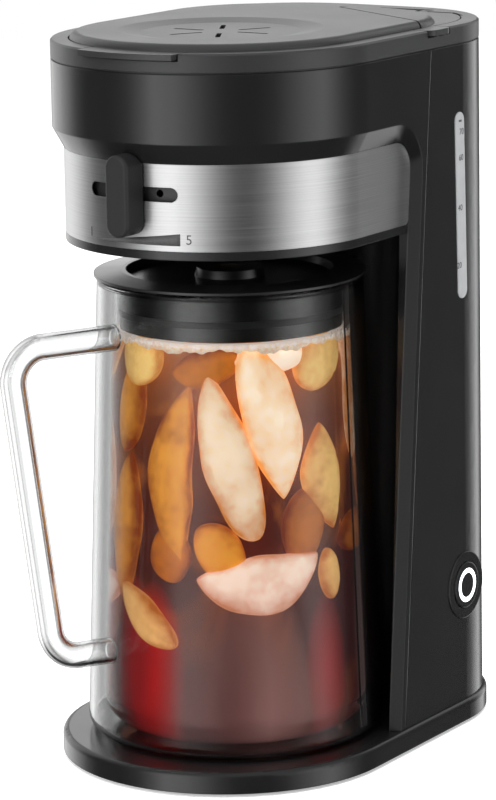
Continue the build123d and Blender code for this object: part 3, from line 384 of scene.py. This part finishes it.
window_low, window_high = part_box("level_window")
window_middle, window_slope = 0.2472, math.tan(math.radians(1.9))
print_offset = -0.0008


def window_line(height):
    """Depth of the printing's middle line, which leans back a little, at a height."""
    depth = (window_high.y + window_low.y) / 2 + print_offset
    return depth + (height - window_middle) * window_slope


def print_on_window(name, text, letter_height, height, aside=0.0):
    """Figures on the window's face at a height, with their middle a little to one side."""
    mark = figures(name, text, letter_height, 2 * ink_thickness)
    for vertex in mark.vertices:
        x, y, out = vertex.co
        vertex.co = (window_high.x + out, window_line(height) + aside + x, height + y)
    piece(name, mark, ink, "root", smooth=False)


for text, height in (("70", 0.2812), ("60", 0.2693), ("40", 0.2462), ("20", 0.2196)):
    print_on_window("gauge_" + text, text, 0.0028, height)
print_on_window("gauge_full_mark", "-", 0.0070, 0.2871, -0.0014)


# Water tank: blow-moulded clear plastic, slightly milky, seen when the water lid is open. It
# stands in the rear housing and is held down by the deck.
cistern = Finish(bpy.data.materials.new("tank_plastic"))
cloud = mottle(cistern, 25.0, 3.0)
milk = blended(cistern, cloud, (0.42, 0.44, 0.46), (0.56, 0.58, 0.60))
cistern.feed({
    "Base Color": milk,
    "Roughness": 0.22,
    "Transmission Weight": 0.3,
    "Normal": softened(cistern, 0.0006, 0.15, 300.0),
})
dress(cistern, "water_tank")


# Brewing parts: deck, basket, nozzle and spray head in satin black, and a cup of woven fine
# steel mesh that drops into the basket.
dress(satin, "deck", "brew_basket", "drip_nozzle", "spray_head")
woven = Finish(bpy.data.materials.new("woven_mesh"))
weave = woven.node("ShaderNodeTexVoronoi", {}, {"Vector": on_piece(woven), "Scale": 1600.0})
thread = blended(woven, weave, (0.75, 0.75, 0.74), (0.22, 0.22, 0.22))
woven.feed({
    "Base Color": thread,
    "Metallic": 1.0,
    "Roughness": 0.4,
    "Normal": softened(woven, 0.0003, 0.8, 1600.0),
})
dress(woven, "mesh_filter")


# Heater and water path: a die-cast aluminium heater on white heat-proof feet with a thermostat
# and a fuse, grey silicone hoses, and a white check valve. All of it is hidden in the column.
cast = Finish(bpy.data.materials.new("cast_aluminium"))
cast.feed({
    "Base Color": (0.6, 0.6, 0.61, 1),
    "Metallic": 1.0,
    "Roughness": 0.45,
    "Normal": softened(cast, 0.0006, 0.7, 700.0),
})
dress(cast, "heater", "thermostat")
heatproof = Finish(bpy.data.materials.new("heat_proof_white"))
heatproof.feed({
    "Base Color": (0.78, 0.78, 0.76, 1),
    "Roughness": 0.5,
    "Normal": softened(heatproof, 0.0005, 0.3, 1200.0),
})
dress(heatproof, "heater_feet", "thermal_fuse", "check_valve")
silicone = Finish(bpy.data.materials.new("grey_silicone"))
silicone.feed({
    "Base Color": (0.2, 0.2, 0.2, 1),
    "Roughness": 0.55,
    "Normal": softened(silicone, 0.0004, 0.3, 800.0),
})
dress(silicone, "inlet_hose", "riser_tube")


# Pitcher: two blown glass walls, joined at the rim, and a bent glass tube for a handle. The
# glass is clear and slightly uneven. It is darker where it is looked through at a slant, partly
# for the longer path through the glass and partly as painted shade, and the handle's upper and
# lower arms carry more painted shade.
blown = Finish(bpy.data.materials.new("blown_glass"))
ripple = mottle(blown, 22.0, 1.0)
uneven = blown.node("ShaderNodeBump", {}, {"Strength": 0.06, "Distance": 0.001, "Height": ripple})
# darker at a slant: partly the longer path through the glass, partly painted shade for dark edge
# reflections
slant = blown.node("ShaderNodeLayerWeight", {}, {"Blend": 0.5}, "Facing")
long_path_and_painted_edge_shade = blended(blown, slant ** 1.5, (0.99, 0.995, 0.99), (0.09, 0.095, 0.095))
blown.feed({
    "Base Color": long_path_and_painted_edge_shade,
    "Roughness": 0.0,
    "IOR": 1.46,
    "Specular Tint": (0.22, 0.22, 0.22, 1),
    "Transmission Weight": 1.0,
    "Normal": uneven,
})
dress(blown, "pitcher_outer_wall", "pitcher_inner_wall")
bent = Finish(bpy.data.materials.new("bent_glass_tube"))
ripple = mottle(bent, 30.0, 1.0)
slant = bent.node("ShaderNodeLayerWeight", {}, {"Blend": 0.5}, "Facing")
tube_low, tube_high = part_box("pitcher_handle")
tube_middle, tube_half = (tube_high.z + tube_low.z) / 2, (tube_high.z - tube_low.z) / 2
level = bent.node("ShaderNodeSeparateXYZ", {}, {"Vector": on_piece(bent)}, "Z")
# painted shade: the handle's upper and lower arms get broader, darker edges, for the dark
# reflections they show
painted_arm_shade = ((abs(level - tube_middle) / tube_half - 0.70) * 8.0).share()
long_path_and_painted_edge_shade = blended(bent, slant ** (4.5 - 3.3 * painted_arm_shade), (0.98, 0.985, 0.985), (0.015, 0.016, 0.016))
bent.feed({
    "Base Color": long_path_and_painted_edge_shade,
    "Roughness": 0.0,
    "IOR": 1.46,
    "Transmission Weight": 1.0,
    "Normal": bent.node(
        "ShaderNodeBump", {}, {"Strength": 0.10, "Distance": 0.001, "Height": ripple}
    ),
})
dress(bent, "pitcher_handle")


# Pitcher lid: polished black moulding with a raised ring, a dish and an inlet in its middle, and
# a skirt inside the glass that holds a black silicone seal.
polished = Finish(bpy.data.materials.new("polished_black"))
flow = mottle(polished, 40.0, 3.0)
polished.feed({
    "Base Color": (0.012, 0.012, 0.0125, 1),
    "Roughness": 0.20 + 0.08 * flow,
    "IOR": 1.5,
    "Normal": softened(polished, 0.0005, 0.15, 90.0),
})
dress(polished, "pitcher_lid")
dress(rubber, "lid_seal")


# Iced tea: fills the inner glass up to the lid's skirt and wets the glass. It is amber under the
# foam and darkens to a deep red towards the floor, and its cloudy middle lets no light through.
wall_low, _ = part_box("pitcher_inner_wall")
outer_low, outer_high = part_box("pitcher_outer_wall")
pitcher_y = (outer_low.y + outer_high.y) / 2
glass_foot, glass_height, foot_radius, glass_taper = 0.0115, 0.2102, 0.0685, 0.0082
jacket = 0.0095
tea_top = 0.1968
tea_floor = wall_low.z + 0.00195
wetting = 0.00005


def tea_radius(height):
    """Inside radius of the inner glass at a height."""
    return foot_radius - glass_taper * (height - glass_foot) / glass_height - jacket


def in_glass(turn, radius, height):
    """Point in the pitcher; the turn runs from its front to its right."""
    return radius * math.sin(turn), pitcher_y - radius * math.cos(turn), height


def join_rings(mesh, rings):
    """Faces between closed rings that have the same number of points."""
    for lower, upper in zip(rings, rings[1:]):
        for i in range(len(lower)):
            j = (i + 1) % len(lower)
            mesh.faces.new((lower[i], lower[j], upper[j], upper[i]))


def filled_glass(name, depth, rise, sides=96):
    """Body that fills the inner glass but for a depth at its wall and a rise at its floor."""
    low, high, bend = tea_floor + rise, tea_top - depth / 3, 0.010
    profile = []
    for step in range(9):
        turn = math.radians(90 * step / 8)
        radius = tea_radius(low) - depth - bend + bend * math.sin(turn)
        profile.append((radius, low + bend - bend * math.cos(turn)))
    profile += [(tea_radius(h) - depth, h) for h in (0.06, 0.10, 0.14, 0.17, high)]
    mesh = bmesh.new()
    rings = [
        [mesh.verts.new(in_glass(2 * math.pi * i / sides, *spot)) for i in range(sides)]
        for spot in profile
    ]
    join_rings(mesh, rings)
    mesh.faces.new(rings[0])
    mesh.faces.new(rings[-1])
    return finished(mesh, name)


brew = Finish(bpy.data.materials.new("iced_tea"))
rise = brew.node("ShaderNodeSeparateXYZ", {}, {"Vector": on_piece(brew)}, "Z") / tea_top
stain = brew.node(
    "ShaderNodeValToRGB",
    {"stops": (
        (0.10, (0.74, 0.42, 0.40)),
        (0.38, (0.80, 0.50, 0.42)),
        (0.60, (0.94, 0.76, 0.60)),
        (1.0, (0.97, 0.86, 0.68)),
    )},
    {"Fac": rise},
)
brew.feed({
    "Base Color": stain,
    "Roughness": 0.07,
    "IOR": 1.33,
    "Specular Tint": (0.2, 0.2, 0.2, 1),
    "Transmission Weight": 1.0,
})
piece("iced_tea", filled_glass("iced_tea", -wetting, -wetting), brew, "pitcher")

cloudy = Finish(bpy.data.materials.new("cloudy_tea"))
place = on_piece(cloudy)
rise = cloudy.node("ShaderNodeSeparateXYZ", {}, {"Vector": place}, "Z") / tea_top
depths = cloudy.node(
    "ShaderNodeValToRGB",
    {"stops": (
        (0.12, (0.120, 0.024, 0.026)),
        (0.25, (0.075, 0.010, 0.013)),
        (0.42, (0.075, 0.011, 0.012)),
        (0.62, (0.095, 0.016, 0.011)),
        (0.82, (0.18, 0.042, 0.013)),
        (1.0, (0.42, 0.15, 0.045)),
    )},
    {"Fac": rise},
)
swirl_place = cloudy.node("ShaderNodeMapping", {}, {"Vector": place, "Scale": (1.0, 1.0, 0.6)})
swirl = cloudy.node(
    "ShaderNodeTexNoise",
    {},
    {"Vector": swirl_place, "Scale": 34.0, "Detail": 3.0, "Distortion": 0.8},
)
orange = ((swirl - 0.50) * 4.0).share()
body = blended(cloudy, orange * rise, depths, (0.70, 0.25, 0.05))
# painted light: red glows and mauve reflections, painted into the cloudy tea at fixed places
squeeze, painted_patch_depth = (1.0, 1.0, 0.36), 0.012
tall = cloudy.node("ShaderNodeMapping", {}, {"Vector": place, "Scale": squeeze})
painted_glows_and_reflections = (
    # angle, height, spread, colour
    (-15, 0.042, 0.0165, (0.66, 0.010, 0.012)),
    (-31, 0.050, 0.0140, (0.45, 0.030, 0.040)),
    (89, 0.044, 0.0130, (0.50, 0.012, 0.014)),
    (205, 0.050, 0.0200, (0.50, 0.012, 0.012)),
    (285, 0.060, 0.0180, (0.50, 0.012, 0.012)),
    (46, 0.030, 0.0240, (0.46, 0.32, 0.31)),
    (24, 0.034, 0.0220, (0.16, 0.08, 0.08)),
    (150, 0.040, 0.0260, (0.30, 0.20, 0.20)),
)
for angle, height, spread, colour in painted_glows_and_reflections:
    middle = in_glass(math.radians(angle), tea_radius(height) - painted_patch_depth, height)
    away = cloudy.node(
        "ShaderNodeVectorMath",
        {"operation": "DISTANCE"},
        {0: tall, 1: Vector(middle) * Vector(squeeze)},
        "Value",
    )
    body = blended(cloudy, (1.0 - away / spread).share() ** 0.7, body, colour)
# painted light: the cloudy middle glows with its own colour, the painted patches included
cloudy.feed({
    "Base Color": body,
    "Roughness": 0.6,
    "Emission Color": body,
    "Emission Strength": 0.45,
})
clear_depth, clear_rise = 0.0125, 0.0008
middle = filled_glass("cloudy_tea", clear_depth, clear_rise)
piece("cloudy_tea", middle, cloudy, "pitcher")


# Fruit in the tea: slices and chunks of apple and orange that lie against the glass. Each is cut
# with a knife, so it has a bulging side, a flatter side and thin ends. Its colour darkens towards
# its outline as painted shade, and it glows a little as painted light.
fruit_clearance = 0.0004


def fruit_slice(name, sizes, lean, angle, height, sunk):
    """Slice in its place: its length, width, depth, belly's share and the ends' bluntness."""
    length, width, depth, belly, low_end, high_end = sizes
    mesh = bmesh.new()
    # a share of painted shade for each point, read by the flesh's finish
    stain = mesh.verts.layers.float.new("stain")
    along_steps, round_steps, unevenness = 26, 24, 0.0018
    tilt, turn = math.radians(lean), math.radians(angle)
    rings = []
    for i in range(along_steps + 1):
        share = 0.5 - 0.5 * math.cos(math.pi * i / along_steps)
        wave = math.sin(math.pi * share)
        full = wave ** (low_end if share < 0.5 else high_end)
        ring = []
        for j in range(round_steps):
            lap = 2 * math.pi * j / round_steps
            across = math.copysign(abs(math.cos(lap)) ** 0.8, math.cos(lap))
            out = math.copysign(abs(math.sin(lap)) ** 0.9, math.sin(lap))
            x = across * width * full * (belly if across > 0 else 1 - belly)
            z = (share - 0.5) * length
            bump = noise.noise(Vector((x * 55 + angle, z * 55, height * 90)))
            x += unevenness * bump * full
            y = out * depth / 2 * full ** 0.6
            arc = x * math.cos(tilt) + z * math.sin(tilt)
            here = height + z * math.cos(tilt) - x * math.sin(tilt)
            wall = tea_radius(here)
            radius = min(wall - sunk + y, wall - fruit_clearance)
            spot = mesh.verts.new(in_glass(turn + arc / wall, radius, here))
            # painted shade: the share grows towards the slice's sides and ends, darkening the flesh
            # there
            spot[stain] = min(1.0, abs(across) ** 3.0 + (1 - wave) ** 3.0)
            ring.append(spot)
        rings.append(ring)
    join_rings(mesh, rings)
    bmesh.ops.remove_doubles(mesh, verts=mesh.verts, dist=1e-6)
    bmesh.ops.dissolve_degenerate(mesh, edges=mesh.edges, dist=1e-6)
    return finished(mesh, name)


def fruit_finish(name, pale, shaded_and_mottled_colour, painted_glow):
    """Wet fruit flesh, clouded and fibrous, with painted shade towards its outline and a painted
    glow.
    """
    flesh = Finish(bpy.data.materials.new(name))
    fibre, cloud = mottle(flesh, 240.0, 4.0), mottle(flesh, 70.0)
    rim = flesh.node("ShaderNodeAttribute", {"attribute_name": "stain"}, {}, "Fac")
    # the flesh's own mottle, with painted shade added towards its outline
    edge_shade_and_mottle = (0.85 * rim + ((cloud - 0.44) * 1.3 + (fibre - 0.5) * 0.7)).share()
    tint = blended(flesh, edge_shade_and_mottle, pale, shaded_and_mottled_colour)
    # painted light: the flesh glows with its own colour, as if lit through from behind
    flesh.feed({
        "Base Color": tint,
        "Roughness": 0.4,
        "Emission Color": tint,
        "Emission Strength": painted_glow,
        "Normal": flesh.node(
            "ShaderNodeBump", {}, {"Strength": 0.25, "Distance": 0.0005, "Height": fibre}
        ),
    })
    return flesh


apple = fruit_finish("apple_flesh", (1.0, 0.87, 0.72), (0.60, 0.24, 0.06), 0.72)
# painted light: a lighter, more glowing copy of the apple flesh, for a more brightly lit slice
brighter_lit_apple = fruit_finish("bright_apple_flesh", (1.0, 0.90, 0.77), (0.78, 0.36, 0.10), 0.85)
yellow = fruit_finish("yellow_flesh", (1.0, 0.70, 0.27), (0.52, 0.17, 0.025), 0.75)
steeped = fruit_finish("steeped_flesh", (0.82, 0.36, 0.045), (0.26, 0.05, 0.008), 0.72)
peach = fruit_finish("orange_flesh", (0.62, 0.20, 0.018), (0.18, 0.03, 0.006), 0.55)
pale_pink = fruit_finish("pink_flesh", (1.0, 0.90, 0.82), (0.58, 0.26, 0.15), 0.85)

slices = (
    # angle, height, lean, length, width, depth, belly, low end, high end, sunk, flesh
    (50, 161, -15, 70, 29, 15, 0.66, 0.80, 0.42, 6.5, brighter_lit_apple),
    (33, 147, -17, 78, 26, 14, 0.42, 0.42, 0.80, 6.5, apple),
    (8, 137, 3, 82, 25, 13, 0.12, 0.85, 0.80, 8.0, steeped),
    (-21, 188, -70, 26, 24, 12, 0.50, 0.50, 0.50, 7.0, yellow),
    (86, 187, 60, 34, 26, 12, 0.50, 0.50, 0.50, 7.0, yellow),
    (88, 134, -8, 50, 25, 12, 0.35, 0.90, 0.80, 7.0, yellow),
    (72, 113, 14, 36, 25, 12, 0.50, 0.55, 0.60, 9.0, peach),
    (26, 105, -50, 30, 22, 12, 0.50, 0.55, 0.55, 8.0, steeped),
    (46, 96, -98, 62, 27, 13, 0.20, 0.60, 0.62, 6.0, pale_pink),
    (-15, 72, -56, 44, 17, 11, 0.40, 0.50, 0.70, 7.0, yellow),
    (-2, 101, -16, 26, 24, 11, 0.50, 0.55, 0.55, 10.0, peach),
    (91, 88, -4, 24, 13, 10, 0.50, 0.60, 0.60, 10.5, yellow),
    (-34, 110, 4, 70, 22, 12, 0.40, 0.70, 0.80, 9.0, steeped),
    (-34, 165, 12, 44, 18, 12, 0.60, 0.70, 0.70, 10.0, steeped),
    (20, 185, 80, 40, 16, 11, 0.50, 0.70, 0.70, 10.0, peach),
    (58, 189, 88, 46, 12, 11, 0.50, 0.70, 0.70, 8.5, pale_pink),
    (128, 165, 20, 60, 24, 13, 0.60, 0.80, 0.70, 7.0, apple),
    (150, 120, -30, 56, 22, 13, 0.35, 0.80, 0.70, 8.0, steeped),
    (176, 160, 8, 70, 25, 14, 0.60, 0.80, 0.60, 7.0, apple),
    (205, 112, 60, 50, 20, 12, 0.70, 0.80, 0.70, 7.0, pale_pink),
    (222, 168, -18, 62, 24, 13, 0.35, 0.70, 0.70, 8.0, steeped),
    (250, 130, 24, 64, 24, 13, 0.60, 0.80, 0.70, 7.0, apple),
    (272, 176, 70, 40, 20, 12, 0.50, 0.60, 0.60, 8.0, yellow),
    (292, 128, -12, 58, 22, 13, 0.40, 0.80, 0.70, 8.0, apple),
    (118, 105, 80, 40, 18, 12, 0.60, 0.70, 0.70, 8.0, peach),
    (300, 78, 80, 46, 16, 11, 0.60, 0.70, 0.70, 8.0, pale_pink),
)
for number, row in enumerate(slices, 1):
    angle, height, lean, length, width, depth, belly, low_end, high_end, sunk, flesh = row
    name = f"fruit_{number:02d}"
    sizes = (length / 1000, width / 1000, depth / 1000, belly, low_end, high_end)
    mesh = fruit_slice(name, sizes, lean, angle, height / 1000, sunk / 1000)
    piece(name, mesh, flesh, "pitcher")


# Foam: a thin ring of pale bubbles where the tea meets the glass under the lid's skirt. It clings
# to the glass and hangs lower in some places than in others.
froth = Finish(bpy.data.materials.new("tea_foam"))
bubble = froth.node("ShaderNodeTexVoronoi", {}, {"Vector": on_piece(froth), "Scale": 650.0})
foam_tint = blended(froth, bubble, (0.98, 0.93, 0.88), (0.80, 0.56, 0.42))
# painted light: the foam glows a little with its own colour
froth.feed({
    "Base Color": foam_tint,
    "Roughness": 0.4,
    "Emission Color": foam_tint,
    "Emission Strength": 0.6,
    "Normal": froth.node(
        "ShaderNodeBump", {}, {"Strength": 0.6, "Distance": 0.0006, "Height": bubble}
    ),
})
foam = bmesh.new()
sides = 220
foam_radius = tea_radius(tea_top)
rings = [[], [], [], []]
for i in range(sides):
    turn = 2 * math.pi * i / sides
    ragged = 0.0016 + 0.0008 * math.sin(7 * turn + 1)
    ragged += 0.0006 * math.sin(23 * turn) + 0.0004 * math.sin(61 * turn)
    section = (
        (foam_radius - 0.0001, tea_top + 0.0016),
        (foam_radius + wetting, tea_top - ragged),
        (foam_radius - 0.0040, tea_top - ragged * 0.6),
        (foam_radius - 0.0075, tea_top + 0.0012),
    )
    for ring, spot in zip(rings, section):
        ring.append(foam.verts.new(in_glass(turn, *spot)))
join_rings(foam, rings + rings[:1])
piece("tea_foam", finished(foam, "tea_foam"), froth, "pitcher")


# Floor: a plain pale table top, with a barely visible mottle. It isn't part of the object, and
# the glass and the gloss don't show it.
bench = Finish(bpy.data.materials.new("pale_floor"))
cloud = mottle(bench, 6.0)
pale = blended(bench, cloud, (0.95, 0.95, 0.95), (0.98, 0.98, 0.98))
bench.feed({
    "Base Color": pale,
    "Roughness": 0.8,
    "Emission Color": pale,
    "Emission Strength": 0.42,
})
disc = bmesh.new()
bmesh.ops.create_circle(disc, cap_ends=True, segments=64, radius=3.0)
mesh = bpy.data.meshes.new("floor")
disc.to_mesh(mesh)
floor = bpy.data.objects.new("floor", mesh)
floor.data.materials.append(bench.owner)
bpy.context.scene.collection.objects.link(floor)
floor.visible_glossy = False
floor.visible_transmission = False


# Studio: white backdrop, a dim room with soft boxes painted round it for the reflections, and
# area lamps above and at the sides. The camera stands at the front right, a little above.
camera_turn = 33.007
turn, pitch, roll = math.radians(camera_turn), math.radians(12.108), math.radians(-0.838)
level_forward = Vector((-math.sin(turn), math.cos(turn), 0))
forward = level_forward * math.cos(pitch) - Vector((0, 0, math.sin(pitch)))
right = Vector((math.cos(turn), math.sin(turn), 0))
up = right.cross(forward)
camera_x = right * math.cos(roll) + up * math.sin(roll)
camera_y = up * math.cos(roll) - right * math.sin(roll)
lens = bpy.data.cameras.new("camera")
lens.lens, lens.sensor_height, lens.sensor_width = 160.16, 36, 36
lens.sensor_fit = "VERTICAL"
camera = bpy.data.objects.new("camera", lens)
rotation = Matrix((camera_x, camera_y, -forward)).transposed()
camera.matrix_world = Matrix.Translation((0.8705, -1.3432, 0.5031)) @ rotation.to_4x4()
bpy.context.scene.collection.objects.link(camera)
bpy.context.scene.camera = camera

room = Finish(bpy.data.worlds.new("studio"), "ShaderNodeBackground", "ShaderNodeOutputWorld")
bpy.context.scene.world = room.owner
facing = room.node("ShaderNodeTexCoord", {}, {}, "Generated")
split = room.node("ShaderNodeSeparateXYZ", {}, {"Vector": facing}, "X")
split_y = Wire(room, split.socket.node.outputs["Y"])
split_z = Wire(room, split.socket.node.outputs["Z"])
compass = room.node("ShaderNodeMath", {"operation": "ARCTAN2"}, {0: split, 1: 0.0 - split_y})
heading = room.node("ShaderNodeMath", {"operation": "FRACT"}, {0: compass / (2 * math.pi) + 1.0})


def heading_of(degrees):
    """Share of a turn from the object's front, for degrees to the right of the camera."""
    return ((degrees + camera_turn) % 360) / 360


painted = (
    (-176, 1.5), (-171, 0.35), (-164, 1.2), (-140, 1.5), (-126, 1.1), (-115, 0.40), (-104, 0.07),
    (-80, 0.05), (-66, 0.25), (-54, 1.2), (-46, 2.3), (-31, 1.8), (-9, 0.45), (2, 0.10),
    (12, 0.03), (24, 0.04), (36, 0.22), (47, 0.8), (60, 1.5), (72, 1.9), (88, 0.6), (96, 0.24),
    (104, 0.10), (120, 0.10), (134, 1.2), (146, 1.7), (153, 0.6), (159, 0.12), (168, 0.12),
    (173, 1.2),
)
stops = sorted((heading_of(degrees), (grey,) * 3) for degrees, grey in painted)
stops = [(0.0, stops[-1][1])] + stops + [(1.0, stops[0][1])]
boxes = room.node("ShaderNodeValToRGB", {"stops": stops}, {"Fac": heading})
overhead = ((split_z - 0.30) * 2.0).share()
underfoot = ((-0.50 - split_z) * 5.0).share()
walls = blended(room, overhead, boxes, (0.50, 0.50, 0.50))
studio = blended(room, underfoot, walls, (0.03, 0.03, 0.03))
seen = room.node("ShaderNodeLightPath", {}, {}, "Is Camera Ray")
backdrop = blended(room, seen, studio, (1.0, 1.0, 1.0))
room.feed({"Color": backdrop, "Strength": 1.0})


def lamp(name, spot, aim, size, height, power):
    """Soft box: a rectangular area lamp at a spot, turned towards a point."""
    box = bpy.data.lights.new(name, "AREA")
    box.shape, box.size, box.size_y, box.energy = "RECTANGLE", size, height, power
    held = bpy.data.objects.new(name, box)
    held.location = spot
    held.rotation_euler = (Vector(aim) - Vector(spot)).to_track_quat("-Z", "Y").to_euler()
    held.visible_glossy = False
    bpy.context.scene.collection.objects.link(held)
    return held


lamp("top_box", (0.0, -0.1, 1.6), (0, 0, 0), 1.6, 1.6, 26)
lamp("front_box", (-0.2, -1.7, 0.9), (0, 0, 0.12), 0.7, 1.1, 16)
lamp("rear_box", (0.2, 1.7, 1.2), (0, 0, 0.1), 1.4, 1.0, 18)
bpy.context.scene.view_settings.view_transform = "Standard"
